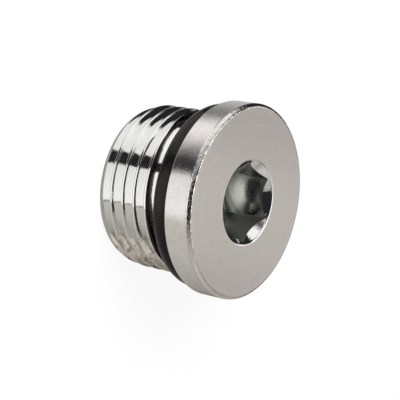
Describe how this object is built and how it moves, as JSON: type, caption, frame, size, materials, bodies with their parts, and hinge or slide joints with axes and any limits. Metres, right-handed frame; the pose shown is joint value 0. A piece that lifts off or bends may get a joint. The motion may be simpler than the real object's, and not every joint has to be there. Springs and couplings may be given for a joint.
{
  "type": "hex socket plug",
  "caption": "Round collar-head threaded plug with a hexagon socket in its face and a black seal ring under the head.",
  "frame": {"origin": "centre of the flat end face of the thread, on the axis", "axes": "+Z along the axis, out of the head's face; +X towards a corner of the hexagon socket"},
  "size_m": [0.022, 0.022, 0.014],
  "materials": {
    "plated_steel": "bright zinc plating over turned steel: satin on the head's face, mirror-like on the thread's flanks",
    "nitrile_rubber": "satin black moulded rubber"
  },
  "bodies": {
    "root": {"plug_body": "plated_steel", "o_ring": "nitrile_rubber"}
  },
  "joints": []
}
